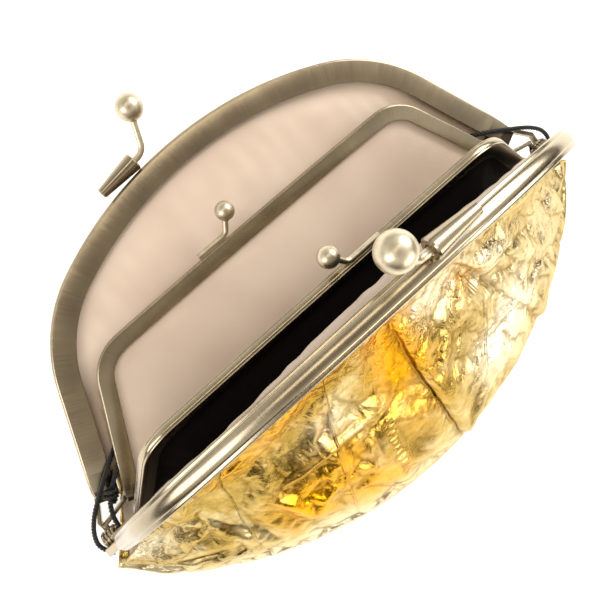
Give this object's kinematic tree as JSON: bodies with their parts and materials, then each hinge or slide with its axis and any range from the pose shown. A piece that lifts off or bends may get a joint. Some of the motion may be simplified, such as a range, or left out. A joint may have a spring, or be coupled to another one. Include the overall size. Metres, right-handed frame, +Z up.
{
  "type": "kiss lock frame purse",
  "caption": "Leather clutch purse on a hinged metal arch frame with kiss lock balls, a lined bag and a coin pouch on a smaller inner frame, lying open on its back.",
  "frame": {"origin": "on the table face of the rear panel, under the middle of the hinge line", "axes": "+X along the hinge line, +Y from the hinges to the apex of the rear frame half, +Z up"},
  "size_m": [0.185, 0.1438, 0.0945],
  "materials": {
    "antique_brass": "brushed antique",
    "satin_nickel": "satin",
    "gold_leather": "crinkled gold foil",
    "satin_lining": "satin",
    "paper_cord": "twisted paper",
    "black_cord": "twisted"
  },
  "bodies": {
    "rear_outer": {"rear_outer_frame": "antique_brass", "rear_outer_lock_socket": "antique_brass", "left_hinge_rivet": "antique_brass", "right_hinge_rivet": "antique_brass", "rear_outer_lock_ball": "satin_nickel", "rear_outer_lock_wire": "satin_nickel", "rear_leather_panel": "gold_leather", "front_leather_panel": "gold_leather", "rear_lining": "satin_lining", "front_lining": "satin_lining", "pouch_rear_wall": "satin_lining", "pouch_front_wall": "satin_lining", "rear_outer_packing_cord": "paper_cord", "left_tie_cord": "black_cord", "right_tie_cord": "black_cord"},
    "front_outer": {"front_outer_frame": "antique_brass", "front_outer_lock_socket": "antique_brass", "front_outer_lock_ball": "satin_nickel", "front_outer_lock_wire": "satin_nickel", "front_outer_packing_cord": "paper_cord"},
    "rear_inner": {"rear_inner_frame": "antique_brass", "rear_inner_lock_ball": "satin_nickel", "rear_inner_lock_wire": "satin_nickel", "rear_inner_packing_cord": "paper_cord"},
    "front_inner": {"front_inner_frame": "antique_brass", "front_inner_lock_ball": "satin_nickel", "front_inner_lock_wire": "satin_nickel", "front_inner_packing_cord": "paper_cord"}
  },
  "joints": [
    {"name": "front_frame_hinge", "type": "hinge", "parent": "rear_outer", "child": "front_outer", "pos_m": [0, 0, 0.0095], "axis": [1, 0, 0], "range_deg": [-73.1, 35], "deforming": ["front_leather_panel", "front_lining", "pouch_rear_wall", "pouch_front_wall", "left_tie_cord", "right_tie_cord"]},
    {"name": "rear_pouch_hinge", "type": "hinge", "parent": "rear_outer", "child": "rear_inner", "pos_m": [0, 0, 0.0095], "axis": [1, 0, 0], "range_deg": [-8.01, 3.84]},
    {"name": "front_pouch_hinge", "type": "hinge", "parent": "rear_outer", "child": "front_inner", "pos_m": [0, 0, 0.0095], "axis": [1, 0, 0], "range_deg": [-58.01, 27.78]}
  ],
  "couplings": [
    {"joint": "rear_pouch_hinge", "follows": "front_frame_hinge", "ratio": 0.10944},
    {"joint": "front_pouch_hinge", "follows": "front_frame_hinge", "ratio": 0.79343}
  ]
}
